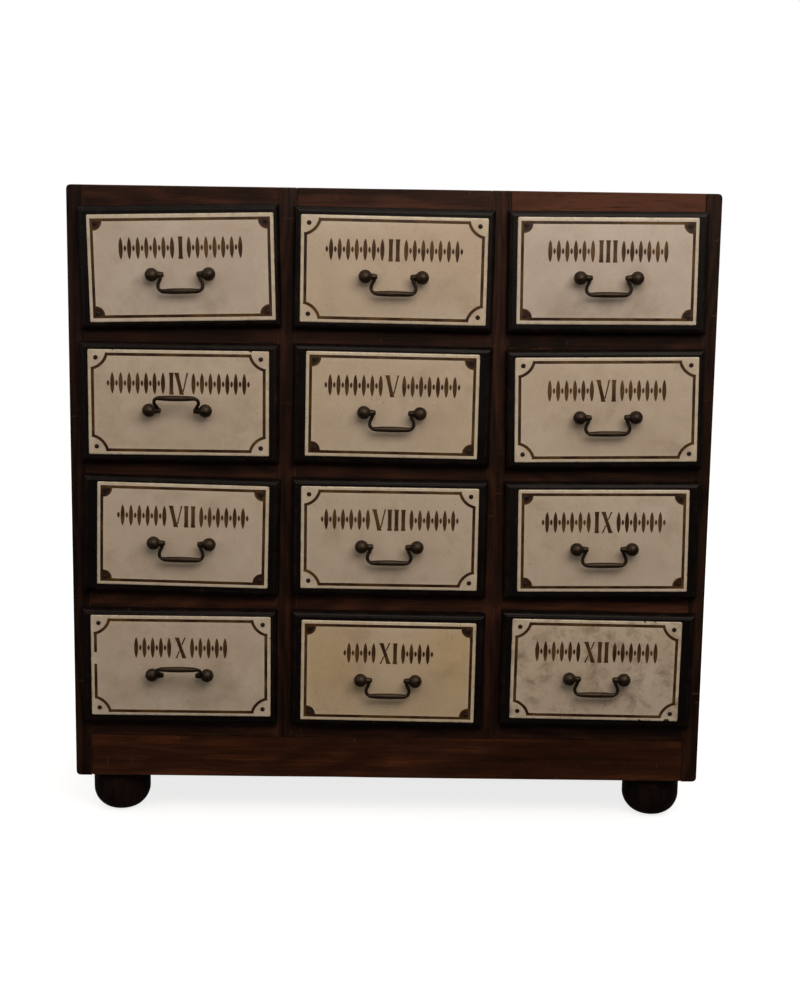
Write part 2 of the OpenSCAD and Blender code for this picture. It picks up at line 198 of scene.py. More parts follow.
class Shape:
    """Points and faces, with the wear and the place along the grain at each point."""

    def __init__(self, seed):
        self.points, self.faces, self.wear, self.grain = [], [], [], []
        self.rng = np.random.default_rng(seed)

    def skin(self, rings, wear=None, grain=None):
        """Closed skin over rings of equal numbers of points, with a flat cap at each end."""
        rings = np.asarray(rings, float)
        m, n = rings.shape[:2]
        start = sum(len(p) for p in self.points)
        ids = np.arange(start, start + m * n).reshape(m, n).tolist()
        for ring, after in zip(ids, ids[1:]):
            turned, after_turned = ring[1:] + ring[:1], after[1:] + after[:1]
            self.faces += zip(ring, turned, after_turned, after)
        self.faces += [ids[0], ids[-1]]
        points = rings.reshape(-1, 3)
        self.points.append(points)
        self.wear.append(np.zeros(m * n) if wear is None else np.asarray(wear, float).reshape(-1))
        self.grain.append(points if grain is None else grain)

    def piece(self, name, material, body, slot, at=None, replaces=(), tone=0.5, sharp=40):
        """Makes the mesh object, puts it in place, gives it its body and hides the CAD nodes it
        replaces; its slot is not used.
        """
        mesh = bpy.data.meshes.new(name)
        mesh.from_pydata(np.concatenate(self.points).tolist(), [], self.faces)
        for label, kind, key, values in (
            ("wear", "FLOAT", "value", self.wear),
            ("grain", "FLOAT_VECTOR", "vector", self.grain),
        ):
            values = np.concatenate(values).astype(np.float32).ravel()
            mesh.attributes.new(label, kind, "POINT").data.foreach_set(key, values)
        tidy = bmesh.new()
        tidy.from_mesh(mesh)
        bmesh.ops.recalc_face_normals(tidy, faces=tidy.faces)
        tidy.to_mesh(mesh)
        tidy.free()
        mesh.materials.append(material)
        mesh.shade_smooth()
        mesh.set_sharp_from_angle(angle=radians(sharp))
        for face in mesh.polygons:
            face.use_smooth = len(face.vertices) <= 4
        if at is not None:
            mesh.transform(at)
        obj = new_object(name, mesh)
        obj["tone"] = float(tone)
        obj["seed"] = float(self.rng.uniform(-9, 9))
        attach(obj, body)
        if replaces:
            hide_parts(*replaces)
        return obj


def ripple(points, rng, size, waves=7):
    """Smooth values between -1 and 1 that change over about size metres."""
    directions = rng.normal(size=(waves, 3)) * (2.2 / size)
    phases = rng.uniform(0, 2 * pi, waves)
    return np.sin(points @ directions.T + phases).mean(axis=1) * 1.8


def rounded_rect(half_a, half_b, radius, na=1, nb=1, arc=4):
    """Outline of a rectangle with rounded corners, and how sharp each of its points is."""
    signs = [(1, 1, 0), (-1, 1, 90), (-1, -1, 180), (1, -1, 270)]
    flat_a, flat_b = half_a - radius, half_b - radius

    def on_arc(corner, share):
        sa, sb, start = signs[corner % 4]
        t = radians(start + 90 * share)
        return np.array((sa * flat_a + radius * cos(t), sb * flat_b + radius * sin(t)))

    points, sharp = [], []
    for i in range(4):
        points += [on_arc(i, k / arc) for k in range(arc + 1)]
        sharp += [0.6] + [1] * (arc - 1) + [0.6]
        p, q = points[-1], on_arc(i + 1, 0)
        margin = min(1.6 * radius / max(np.linalg.norm(q - p), 1e-9), 0.2)
        inner = np.linspace(margin, 1 - margin, (na if i % 2 == 0 else nb) + 1)
        points += [p + (q - p) * f for f in inner]
        sharp += [0] * len(inner)
    return np.array(points), np.array(sharp, float)


def axes(along):
    """The number of an axis and those of the other two."""
    k = "XYZ".index(along)
    return [k] + [i for i in range(3) if i != k]


def end_rings(t0, t1, radius, step, caps=(True, True)):
    """Stations (place, inset, wear) along a bar whose ends are rounded where caps says."""
    first = [(0, 2.6, 0), (0, 1, 0.6), (0.3, 0.3, 1), (1, 0, 0.6), (2.6, 0, 0)]
    out = [(t0 + d * radius, i * radius, w) for d, i, w in first] if caps[0] else [(t0, 0, 0)]
    reach = 2.6 * radius
    lo, hi = t0 + (reach if caps[0] else 0), t1 - (reach if caps[1] else 0)
    count = max(1, round((hi - lo) / step))
    out += [(t, 0, 0) for t in np.linspace(lo, hi, count + 1)[1:-1]]
    last = [(t1 - d * radius, i * radius, w) for d, i, w in first[::-1]]
    out += last if caps[1] else [(t1, 0, 0)]
    return out


def worn(points, normals, sharp, rng, radius, depth):
    """Moves points in a little: a slow waviness of the faces and uneven wear on the edges."""
    slow = depth * np.clip(0.5 + 0.5 * ripple(points, rng, 0.12), 0, 1)
    nicks = 0.55 * radius * np.clip(ripple(points, rng, 0.018) - 0.1, 0, 1) * sharp
    return points - normals * (slow * (1 - sharp) + nicks)[:, None]


def board(shape, lo, hi, along, radius=0.9 * MM, step=STEP, depth=0.15 * MM, caps=(True, True)):
    """One board with rounded, unevenly worn edges, its grain along X, Y or Z."""
    lo, hi = np.asarray(lo, float), np.asarray(hi, float)
    k, a, b = axes(along)
    half, mid = (hi - lo) / 2, (hi + lo) / 2
    na, nb = (max(1, round(2 * half[i] / step)) for i in (a, b))
    rings, wear, normals = [], [], []
    for t, inset, w in end_rings(lo[k], hi[k], radius, step, caps):
        half_a, half_b = half[a] - inset, half[b] - inset
        outline, sharp = rounded_rect(half_a, half_b, max(radius - inset, radius * 0.15), na, nb)
        ring, out = np.zeros((2, len(outline), 3))
        ring[:, k], ring[:, a], ring[:, b] = t, mid[a] + outline[:, 0], mid[b] + outline[:, 1]
        if inset <= radius:
            for axis, reach, place in ((a, half_a, outline[:, 0]), (b, half_b, outline[:, 1])):
                out[:, axis] = np.where(np.abs(place) > reach - radius, np.sign(place), 0)
        rings.append(ring)
        wear.append(np.maximum(sharp, w) if inset <= radius else np.zeros(len(sharp)))
        normals.append(out)
    rings, wear, normals = np.array(rings), np.concatenate(wear), np.concatenate(normals)
    normals /= np.maximum(np.linalg.norm(normals, axis=1), 1)[:, None]
    flat = worn(rings.reshape(-1, 3), normals, wear, shape.rng, radius, depth)
    shape.skin(flat.reshape(rings.shape), wear, grain_of(flat, along, shape.rng))


def grain_of(points, along, rng):
    """Place along and across the grain, moved so that no two boards show the same figure."""
    return points[:, axes(along)] + rng.uniform(-4, 4, 3)


def polygon_loop(points, radius, step):
    """Corners joined by straight sides, each cut by a small arc, and how sharp each point is."""
    points = np.asarray(points, float)
    radii = radius if hasattr(radius, "__len__") else [radius] * len(points)
    out, sharp = [], []
    for i, (p, r) in enumerate(zip(points, radii)):
        before, after = points[i - 1], points[(i + 1) % len(points)]
        to_before = (before - p) / np.linalg.norm(before - p)
        to_after = (after - p) / np.linalg.norm(after - p)
        s, e = p + to_before * r, p + to_after * r
        for f in np.linspace(0, 1, 6 if r > 3 * MM else 4):
            out.append((1 - f) ** 2 * s + 2 * f * (1 - f) * p + f**2 * e)
            sharp.append(1 if r < 3 * MM and 0 < f < 1 else 0.4)
        far = after - to_after * radii[(i + 1) % len(points)] - e
        count = max(1, round(np.linalg.norm(far) / step))
        for f in np.linspace(0, 1, count + 1)[1:-1]:
            out.append(e + far * f)
            sharp.append(0)
    return np.array(out), np.array(sharp, float)


def unit(vectors):
    return vectors / np.maximum(np.linalg.norm(vectors, axis=1), 1e-12)[:, None]


def shrink(outline, distance):
    """The outline moved inwards by distance, for an outline that runs anticlockwise."""
    before = unit(outline - np.roll(outline, 1, axis=0))
    after = unit(np.roll(outline, -1, axis=0) - outline)
    mean = np.stack([before[:, 1], -before[:, 0]], 1) + np.stack([after[:, 1], -after[:, 0]], 1)
    mean /= np.maximum((mean**2).sum(axis=1) / 2, 0.5)[:, None]
    return outline - mean * distance


def extrude(shape, section, along, t0, t1, grain, radius, corner_r, caps=(True, True)):
    """A board along an axis. Its section is a polygon in the other two axes, anticlockwise."""
    k, a, b = axes(along)
    outline, sharp = polygon_loop(section, corner_r, STEP)
    rings, wear = [], []
    for t, inset, w in end_rings(t0, t1, radius, STEP, caps):
        if inset > radius:
            continue
        points = shrink(outline, inset)
        ring = np.zeros((len(points), 3))
        ring[:, k], ring[:, a], ring[:, b] = t, points[:, 0], points[:, 1]
        rings.append(ring)
        wear.append(np.maximum(sharp, w) if inset < radius else np.zeros(len(sharp)))
    rings = np.array(rings)
    shape.skin(rings, np.concatenate(wear), grain_of(rings.reshape(-1, 3), grain, shape.rng))


def lathe(shape, profile, axis, centre, segments, wear):
    """Turned solid: profile is (radius, place along the axis), from one end to the other.

    A radius can be one number or a number for each point of its ring."""
    k, a, b = axes(axis)
    turns = np.linspace(0, 2 * pi, segments, endpoint=False)
    rings = np.zeros((len(profile), segments, 3))
    for i, (r, t) in enumerate(profile):
        rings[i, :, k] = centre[k] + t
        rings[i, :, a] = centre[a] + r * np.cos(turns)
        rings[i, :, b] = centre[b] + r * np.sin(turns)
    shape.skin(rings, np.repeat(wear, segments))


def tube(shape, path, radii, sides, wear):
    """Round rod of changing thickness along a path that lies in a plane of constant Y."""
    run = unit(np.gradient(path, axis=0))
    across = np.stack([run[:, 2], 0 * run[:, 0], -run[:, 0]], 1)
    turns = np.linspace(0, 2 * pi, sides, endpoint=False)[:, None]
    rings = [
        p + r * (np.cos(turns) * n + np.sin(turns) * (0, 1, 0))
        for p, n, r in zip(path, across, radii)
    ]
    shape.skin(rings, np.repeat(wear, sides))


def arc_points(centre, radius, start, end, count):
    """Points (a, b) on an arc, angles in degrees."""
    return [
        (centre[0] + radius * cos(radians(t)), centre[1] + radius * sin(radians(t)))
        for t in np.linspace(start, end, count)
    ]


# ---- materials


def srgb(code):
    """Linear colour of a hex colour code."""
    values = [int(code[i : i + 2], 16) / 255 for i in (1, 3, 5)]
    return tuple(v / 12.92 if v <= 0.04045 else ((v + 0.055) / 1.055) ** 2.4 for v in values)


class Nodes:
    """Short calls for the nodes of one tree."""

    def __init__(self, tree):
        self.tree = tree

    def node(self, kind, inputs=None, **settings):
        made = self.tree.nodes.new(kind)
        for key, value in settings.items():
            setattr(made, key, value)
        for key, value in (inputs or {}).items():
            self.give(made.inputs[key], value)
        return made

    def give(self, socket, value):
        if isinstance(value, bpy.types.NodeSocket):
            self.tree.links.new(value, socket)
        elif hasattr(value, "__len__") and len(value) == 3 and len(socket.default_value) == 4:
            socket.default_value = (*value, 1)
        else:
            socket.default_value = value

    def vectors(self, operation, a, b):
        return self.node("ShaderNodeVectorMath", {0: a, 1: b}, operation=operation).outputs[0]

    def noise(self, vector, scale, detail, rough, distortion=0.0):
        """Noise between 0 and 1. A scale of three numbers stretches it along the axes."""
        if isinstance(scale, tuple):
            vector, scale = self.vectors("MULTIPLY", vector, scale), 1.0
        inputs = {"Vector": vector, "Scale": scale, "Detail": detail}
        inputs |= {"Roughness": rough, "Distortion": distortion}
        return self.node("ShaderNodeTexNoise", inputs).outputs["Fac"]

    def math(self, operation, a, b):
        return self.node("ShaderNodeMath", {0: a, 1: b}, operation=operation).outputs[0]

    def plus(self, a, b):
        return self.math("ADD", a, b)

    def minus(self, a, b):
        return self.math("SUBTRACT", a, b)

    def times(self, a, b):
        return self.math("MULTIPLY", a, b)

    def remap(self, value, from_lo, from_hi, to_lo, to_hi):
        inputs = {"Value": value, "From Min": from_lo, "From Max": from_hi}
        inputs |= {"To Min": to_lo, "To Max": to_hi}
        return self.node("ShaderNodeMapRange", inputs, clamp=True).outputs["Result"]

    def ramp(self, value, stops):
        made = self.node("ShaderNodeValToRGB", {"Fac": value})
        elements = made.color_ramp.elements
        while len(elements) < len(stops):
            elements.new(0.5)
        for element, (place, colour) in zip(elements, stops):
            element.position, element.color = place, (*colour, 1)
        return made.outputs["Color"]

    def mix(self, share, a, b):
        inputs = {0: share, 6: a, 7: b}
        return self.node("ShaderNodeMix", inputs, data_type="RGBA").outputs[2]

    def over(self, base, value, lo, hi, amount, colour):
        """Colour laid over base, from nowhere where value is lo to amount where it is hi."""
        return self.mix(self.remap(value, lo, hi, 0.0, amount), base, colour)

    def bump(self, height, distance, strength):
        inputs = {"Height": height, "Distance": distance, "Strength": strength}
        return self.node("ShaderNodeBump", inputs).outputs["Normal"]


class Surface(Nodes):
    """A Principled material and the values that its pieces carry."""

    def __init__(self, name, **constants):
        self.material = bpy.data.materials.new(name)
        self.material.use_nodes = True
        super().__init__(self.material.node_tree)
        self.shader = next(n for n in self.tree.nodes if n.type == "BSDF_PRINCIPLED")
        self.set(**constants)

    def set(self, **inputs):
        for key, value in inputs.items():
            self.give(self.shader.inputs[key.replace("_", " ")], value)

    def value(self, name):
        """A number that each point carries."""
        return self.node("ShaderNodeAttribute", attribute_name=name).outputs["Fac"]

    def own(self, name):
        """A number that each object carries."""
        settings = dict(attribute_type="OBJECT", attribute_name=name)
        return self.node("ShaderNodeAttribute", **settings).outputs["Fac"]

    def place(self):
        """Object coordinates, moved by the piece's own seed."""
        at = self.node("ShaderNodeTexCoord").outputs["Object"]
        seed = self.own("seed")
        shift = self.node("ShaderNodeCombineXYZ", {0: seed, 1: seed, 2: seed}).outputs[0]
        return self.vectors("ADD", at, shift)

    def grain(self):
        return self.node("ShaderNodeAttribute", attribute_name="grain").outputs["Vector"]


def wood(name, colours, figure, gloss=0.42, pores=0.6, wear_share=0.6, grain=True, shine=0.12):
    """Stained and waxed wood. Its colours are dark, middle and light figure and worn wood."""
    dark, mid, light, bare = (srgb(code) for code in colours.split())
    s = Surface(name, Specular_IOR_Level=shine)
    at = s.grain() if grain else s.place()
    warp = s.noise(at, (2.2, 9, 9), 3.0, 0.5)
    bent = s.vectors("MULTIPLY", warp, (0.0, 5.0 * figure, 4.0 * figure))
    bands_at = s.vectors("ADD", s.vectors("MULTIPLY", at, (0.7, 24, 24)), bent)
    inputs = {"Vector": bands_at, "Scale": 0.9, "Distortion": 3.2 * figure}
    inputs |= {"Detail": 3.0, "Detail Scale": 1.4}
    waves = s.node("ShaderNodeTexWave", inputs, wave_type="BANDS", bands_direction="Y")
    streaks = s.noise(at, (7, 150, 150), 5.0, 0.62, 0.15)
    fine = s.noise(at, (30, 700, 700), 3.0, 0.6)
    blotch = s.noise(at, (4, 8, 8), 4.0, 0.6)
    mixed = s.plus(s.times(waves.outputs["Fac"], 0.22 * figure), s.times(streaks, 0.7))
    mixed = s.plus(mixed, s.times(s.minus(blotch, 0.5), 0.45))
    mixed = s.plus(mixed, s.times(s.minus(s.own("tone"), 0.5), 0.5))
    colour = s.ramp(mixed, [(0.18, dark), (0.5, mid), (0.86, light)])
    pore = s.remap(fine, 0.56, 0.68, 0.0, pores)
    colour = s.mix(pore, colour, tuple(0.35 * c for c in dark))
    grime = s.noise(at, (11, 26, 26), 5.0, 0.65)
    colour = s.over(colour, grime, 0.5, 0.72, 0.5, tuple(0.6 * c for c in dark))
    rubbed = s.remap(s.noise(at, 60.0, 4.0, 0.7), 0.42, 0.66, 0.0, wear_share)
    colour = s.mix(s.times(s.value("wear"), rubbed), colour, bare)
    scratches = s.remap(s.noise(at, (220, 35, 60), 2.0, 0.5), 0.7, 0.76, 0.0, 0.35)
    colour = s.mix(scratches, colour, bare)
    rough = s.plus(s.remap(blotch, 0.3, 0.7, gloss - 0.07, gloss + 0.12), s.times(pore, 0.25))
    s.set(Base_Color=colour, Roughness=rough)
    height = s.minus(s.times(streaks, 0.5), s.times(pore, 0.7))
    height = s.minus(height, s.times(scratches, 0.5))
    s.set(Normal=s.bump(height, 0.16 * MM, 0.9))
    return s.material


def enamel():
    """Cream vitreous enamel over iron: aged, mottled, smudged, stained, chipped at the rim."""
    s = Surface("enamel_cream", Coat_Weight=0.4, Coat_Roughness=0.08, IOR=1.5)
    at = s.place()
    stained, rim = s.own("stains"), s.value("wear")
    base = s.mix(s.own("tone"), srgb("#d2c4b7"), srgb("#cfb388"))
    mottle = s.noise(at, 26.0, 6.0, 0.68, 0.6)
    base = s.over(base, mottle, 0.35, 0.7, 0.45, srgb("#b39c82"))
    base = s.over(base, s.noise(at, 7.0, 3.0, 0.5), 0.45, 0.7, 0.35, srgb("#ddd0c1"))
    base = s.over(base, s.noise(at, 16.0, 5.0, 0.6, 0.4), 0.55, 0.75, 0.5, srgb("#9d8874"))
    base = s.over(base, rim, 0.03, 0.4, 0.55, srgb("#e6d9c0"))
    blots = s.remap(s.noise(at, 36.0, 6.0, 0.7, 0.2), 0.48, 0.7, 0.0, 0.85)
    base = s.mix(s.times(blots, stained), base, srgb("#8a7560"))
    base = s.over(base, s.noise(at, 420.0, 2.0, 0.5), 0.7, 0.75, 0.6, srgb("#6a5138"))
    dirt = s.times(rim, s.remap(s.noise(at, 90.0, 5.0, 0.7), 0.4, 0.7, 0.0, 0.6))
    base = s.mix(dirt, base, srgb("#8a6f4a"))
    chip = s.plus(s.noise(at, 75.0, 3.0, 0.6), s.times(rim, 0.16))
    chipped = s.remap(s.times(rim, stained), 0.06, 0.12, 0.0, 1.0)
    chip = s.times(s.remap(chip, 0.8, 0.82, 0.0, 1.0), chipped)
    base = s.mix(chip, base, srgb("#2e2018"))
    rough = s.plus(s.remap(mottle, 0.3, 0.7, 0.16, 0.34), s.times(chip, 0.4))
    s.set(Base_Color=base, Roughness=rough)
    height = s.minus(s.times(s.noise(at, 160.0, 2.0, 0.5), 0.2), chip)
    s.set(Normal=s.bump(height, 0.12 * MM, 0.7))
    return s.material


def paint(name, brown, gold, gilt_and_gleam_share, worn_share):
    """Fired brown stencil paint with gold patches, partly gilt and partly a painted gleam, rubbed
    through to the enamel in places.
    """
    s = Surface(name, Specular_IOR_Level=0.3)
    at = s.place()
    stroke = s.noise(at, (30, 30, 30), 5.0, 0.65)
    # Gold patches laid by noise: partly gilt, partly a painted gleam of light on the lines.
    colour = s.over(srgb(brown), stroke, 0.42, 0.68, gilt_and_gleam_share, srgb(gold))
    fleck = s.noise(at, 520.0, 3.0, 0.7)
    colour = s.over(colour, fleck, 0.62, 0.72, worn_share, srgb("#a58a66"))
    s.set(Base_Color=colour, Roughness=s.remap(stroke, 0.3, 0.7, 0.35, 0.55))
    s.set(Normal=s.bump(fleck, 0.03 * MM, 0.6))
    return s.material


def patina(name, colours, metallic=0.75, rough=0.42):
    """Dark patinated metal, brighter where rubbed. Its colours are dark, rubbed and rust."""
    dark, rubbed, rust = (srgb(code) for code in colours.split())
    s = Surface(name, Metallic=metallic)
    at = s.place()
    cloud = s.noise(at, 130.0, 5.0, 0.65)
    colour = s.over(dark, cloud, 0.35, 0.7, 0.55, rubbed)
    worn_share = s.times(s.value("wear"), s.remap(cloud, 0.3, 0.65, 0.25, 0.9))
    colour = s.mix(worn_share, colour, rubbed)
    colour = s.over(colour, s.noise(at, 700.0, 4.0, 0.7), 0.58, 0.68, 0.7, rust)
    s.set(Base_Color=colour, Roughness=s.remap(cloud, 0.3, 0.7, rough - 0.1, rough + 0.16))
    height = s.plus(s.noise(at, 900.0, 3.0, 0.6), s.times(cloud, 0.6))
    s.set(Normal=s.bump(height, 0.08 * MM, 0.7))
    return s.material


CASE_WOOD = wood("case_wood", "#140a06 #341d13 #5a3422 #6b4730", 0.8)
PLINTH_WOOD = wood("plinth_wood", "#180b05 #3d2012 #6b3a20 #6f4c30", 0.55)
EBONISED = wood(
    "ebonised_wood", "#060403 #0f0908 #1a110d #4a382b", 0.4, 0.36, 0.4, 0.4, shine=0.15
)
FOOT_WOOD = wood("foot_wood", "#080403 #150c09 #291a14 #4a3528", 0.6, 0.45)
BARE_WOOD = wood("bare_wood", "#5d4128 #8a6642 #b08a5e #c2a277", 0.6, 0.62, 0.35)
BACK_WOOD = wood("back_wood", "#33241a #5c4430 #84674b #93785b", 1.1, 0.7, 0.45)
HIDDEN_WOOD = wood("hidden_wood", "#5d4128 #80603f #a58258 #b89a70", 0.7, 0.65, grain=False)
ENAMEL = enamel()
LINE_PAINT = paint("border_paint", "#301808", "#80591e", 0.5, 0.15)
DISC_PAINT = paint("corner_paint", "#241208", "#4a2c12", 0.4, 0.05)
STENCIL_PAINT = paint("stencil_paint", "#3a200d", "#7c5826", 0.55, 0.25)
HANDLE_METAL = patina("handle_metal", "#18110b #4c3d2e #3a2316")
SCREW_METAL = patina("screw_metal", "#1e1410 #453226 #4d2b18", 0.55, 0.55)
NAIL_METAL = patina("nail_metal", "#2b2320 #4b3c33 #6a3d22", 0.5, 0.6)

# ---- case


def case_piece(shape, name, node, tone, material=CASE_WOOD, slot="case_wood"):
    shape.piece(name, material, "case", slot, replaces=[node], tone=tone)


def side_panel(s, name):
    """A side panel, its outer edges rounded, rebated for the planks. s is -1 on the left."""
    shape = Shape(seed=10 + s)
    rebate_y = BACK_Y - BACK_T
    for inner, y0, y1, caps in (
        (INNER_HALF, FACE_Y, rebate_y, (True, False)),
        (INNER_HALF + REBATE_W, rebate_y, BACK_Y, (False, True)),
    ):
        x_in, x_out = sorted((s * inner, s * CASE_HALF))
        radii = [EDGE_ROUND if x == s * CASE_HALF else 0.8 * MM for x in (x_in, x_out, x_out, x_in)]
        section = [(x_in, FOOT_H), (x_out, FOOT_H), (x_out, TOP_Z), (x_in, TOP_Z)]
        extrude(shape, section, "Y", y0, y1, "Z", 0.9 * MM, radii, caps)
    # The right panel's tone is set a little lighter than the left's: painted light from the right.
    case_piece(shape, name, name, 0.28 + 0.05 * s)


def partition(index):
    """An upright between two columns: full height in front, under the top board behind."""
    shape = Shape(seed=20 + index)
    mid_x = (index - 1.5) * COL_PITCH
    lo_x, hi_x = mid_x - PARTITION_T / 2, mid_x + PARTITION_T / 2
    behind = FACE_Y + RAIL_D
    board(shape, (lo_x, FACE_Y, PLINTH_TOP), (hi_x, behind, TOP_Z), "Z")
    lo, hi = (lo_x, behind, PLINTH_TOP), (hi_x, BACK_Y - BACK_T, TOP_Z - BOARD_T)
    board(shape, lo, hi, "Z", step=80 * MM)
    case_piece(shape, f"partition_{index}", "partitions", 0.35 + 0.1 * index)


def front_rail(level, col):
    """A rail between two uprights, with a hairline joint at each end."""
    shape = Shape(seed=40 + level * COLS + col)
    mid_x = (col - (COLS + 1) / 2) * COL_PITCH
    z = PLINTH_TOP + level * ROW_PITCH
    half = OPENING_W / 2 - JOINT
    topmost = level == ROWS
    lo = (mid_x - half, FACE_Y + JOINT, z)
    hi = (mid_x + half, FACE_Y + RAIL_D, TOP_Z if topmost else z + RAIL_H)
    board(shape, lo, hi, "X", 0.6 * MM)
    made = shape.points[-1]
    rubbed_edge = (made[:, 2] > TOP_Z - 0.9 * MM) & (made[:, 1] < FACE_Y + 1.5 * MM)
    shape.wear[-1] = np.maximum(shape.wear[-1], 1.6 * rubbed_edge)
    if topmost:
        # The top rails get lighter from left to right: painted light, as if the lamp stood to the
        # right.
        tone = (0.55, 0.7, 1.55)[col - 1]
    else:
        tone = (0.5, 0.75, 0.45, 0.45)[level] + 0.08 * sin(2.3 * level + 1.7 * col)
    case_piece(shape, f"front_rail_{level}{col}", "front_rails", tone)


def top_board():
    """The top between the side panels, behind the top rails, in three glued staves."""
    shape = Shape(seed=3)
    half = INNER_HALF - JOINT
    staves = np.linspace(FACE_Y + RAIL_D + JOINT, BACK_Y - BACK_T, 4)
    for lo_y, hi_y in zip(staves[:-1], staves[1:]):
        board(shape, (-half, lo_y, TOP_Z - BOARD_T), (half, hi_y, TOP_Z), "X", 0.5 * MM)
    case_piece(shape, "top_board", "top_board", 0.55)


def bottom_board():
    shape = Shape(seed=4)
    lo = (-INNER_HALF, FACE_Y + PLINTH_SET_BACK + PLINTH_T, PLINTH_TOP - BOARD_T)
    board(shape, lo, (INNER_HALF, BACK_Y - BACK_T, PLINTH_TOP), "X")
    case_piece(shape, "bottom_board", "bottom_board", 0.4, BARE_WOOD, "inner_wood")


def plinth_board():
    """The set-back board of strongly figured wood under the bottom rail."""
    shape = Shape(seed=5)
    y0, half = FACE_Y + PLINTH_SET_BACK, INNER_HALF - JOINT
    board(shape, (-half, y0, FOOT_H), (half, y0 + PLINTH_T, PLINTH_TOP), "X", 0.9 * MM)
    case_piece(shape, "plinth_board", "plinth_board", 0.66, PLINTH_WOOD, "plinth_wood")


def back_planks():
    """Rough planks with open joints, each a little different in tone."""
    total = 2 * (INNER_HALF + REBATE_W)
    width = total / PLANKS
    for i in range(PLANKS):
        shape = Shape(seed=70 + i)
        lo_x = i * width - total / 2 + PLANK_GAP / 2
        lo, hi = (lo_x, BACK_Y - BACK_T, FOOT_H), (lo_x + width - PLANK_GAP, BACK_Y, TOP_Z)
        board(shape, lo, hi, "Z", 1.0 * MM, depth=0.35 * MM)
        tone = 0.5 + 0.18 * sin(2.1 * i + 0.6)
        case_piece(shape, f"back_plank_{i + 1}", "back_planks", tone, BACK_WOOD, "inner_wood")


def bun_foot(index, x, y):
    """A turned foot: short upright band, rounded underside and a small flat it stands on."""
    shape = Shape(seed=90 + index)
    flat_r = FOOT_R - FOOT_ROUND
    band_top = FOOT_H - 1.2 * MM
    band = [(0, 13), (0.9, 12.2), (0.1, 11.2), (0, 6), (0.3, 0)]
    profile = [(flat_r * 0.4, 0), *arc_points((flat_r, FOOT_ROUND), FOOT_ROUND, -90, 0, 16)]
    profile += [(FOOT_R - inset * MM, band_top - down * MM) for inset, down in band]
    profile += [(FOOT_R - 1.6 * MM, FOOT_H), (SPIGOT_R, FOOT_H), (SPIGOT_R, FOOT_H + SPIGOT_L)]
    wear = [0, *(0.5 * (1 - abs(i - 8) / 8) for i in range(16)), 0.2, 0.3, 0.8, 0.1, 0.6, 0.3, 0, 0]
    lathe(shape, profile, "Z", (x, y, 0), 64, wear)
    ring = shape.points[0]
    out = unit((ring - (x, y, 0)) * (1, 1, 0))
    dents = 0.5 * MM * (0.5 + 0.5 * ripple(ring, shape.rng, 0.02))
    shape.points[0] = ring - out * dents[:, None]
    shape.grain[0] = grain_of(shape.points[0], "Z", shape.rng)
    case_piece(shape, f"bun_foot_{index}", "bun_feet", 0.9, FOOT_WOOD, "foot_wood")


def soften(node, material, width):
    """A CAD node keeps its shape and gets small bevels and its material."""
    obj = frame["nodes"][node]
    obj.data.materials.clear()
    obj.data.materials.append(material)
    obj["tone"], obj["seed"] = 0.5, 1.7
    weld = obj.modifiers.new("weld", "WELD")
    weld.merge_threshold = 0.02 * MM
    flatten = obj.modifiers.new("flatten", "DECIMATE")
    flatten.decimate_type = "DISSOLVE"
    flatten.angle_limit = radians(0.5)
    bevel = obj.modifiers.new("bevel", "BEVEL")
    bevel.width = width
    bevel.segments = 2
    bevel.limit_method = "ANGLE"
    bevel.angle_limit = radians(50)


def case():
    side_panel(-1, "side_left")
    side_panel(1, "side_right")
    for index in (1, 2):
        partition(index)
    for level in range(ROWS + 1):
        for col in range(1, COLS + 1):
            front_rail(level, col)
    top_board()
    bottom_board()
    plinth_board()
    back_planks()
    feet_lo, feet_hi = corners("bun_feet")
    xs, ys = ((feet_lo[k] + FOOT_R, feet_hi[k] - FOOT_R) for k in (0, 1))
    for index, (x, y) in enumerate([(x, y) for y in ys for x in xs], 1):
        bun_foot(index, x, y)
    soften("drawer_runners", HIDDEN_WOOD, 0.6 * MM)
    soften("corner_blocks", HIDDEN_WOOD, 0.8 * MM)
    soften("back_nails", NAIL_METAL, 0.15 * MM)


# ---- drawer boxes


def moulded_front(d):
    """Front board with an ovolo and a fillet worked on its four edges, mitred at the corners."""
    shape = d.shape(100)
    turns, reach = np.linspace(0, pi / 2, 9), BEVEL_D - 0.9 * MM
    ovolo_foot = FRONT_T - BEVEL_D
    curve = [(BEVEL_W * 0.9 * (1 - cos(t)), ovolo_foot + reach * sin(t)) for t in turns]
    profile = [(2 * MM, 0, 0), (0.8 * MM, 0, 0.3), (0, 0.7 * MM, 0.8), (0, 3 * MM, 0)]
    profile += [(0, ovolo_foot - 1 * MM, 0)]
    profile += [(*point, 0.45 if 2 < i < 6 else 0.15) for i, point in enumerate(curve)]
    profile += [(BEVEL_W * 0.94, FRONT_T - 0.25 * MM, 0.9), (BEVEL_W, FRONT_T, 0.9)]
    profile += [(BEVEL_W + 1.2 * MM, FRONT_T, 0.05), (BEVEL_W + 20 * MM, FRONT_T, 0)]
    rings, wear = [], []
    for inset, depth, w in profile:
        outline, _ = rounded_rect(FRONT_W / 2 - inset, FRONT_H / 2 - inset, 0.35 * MM, 14, 9, 2)
        back = np.full(len(outline), -SLIDE_GAP - depth)
        rings.append(np.stack([outline[:, 0], back, outline[:, 1]], 1))
        wear.append(np.full(len(outline), w))
    rings, wear = np.array(rings), np.concatenate(wear)
    flat = rings.reshape(-1, 3)
    nick = 0.5 * MM * np.clip(ripple(flat, shape.rng, 0.012) - 0.35, 0, 1) * wear
    flat = flat - unit(flat * (1, 0, 1)) * nick[:, None]
    shape.skin(flat.reshape(rings.shape), wear, grain_of(flat, "X", shape.rng))
    tone = 0.5 + 0.1 * sin(3.1 * d.row + 1.3 * d.col)
    d.piece(shape, "front", EBONISED, "drawer_wood", "box", d.front, tone=tone)


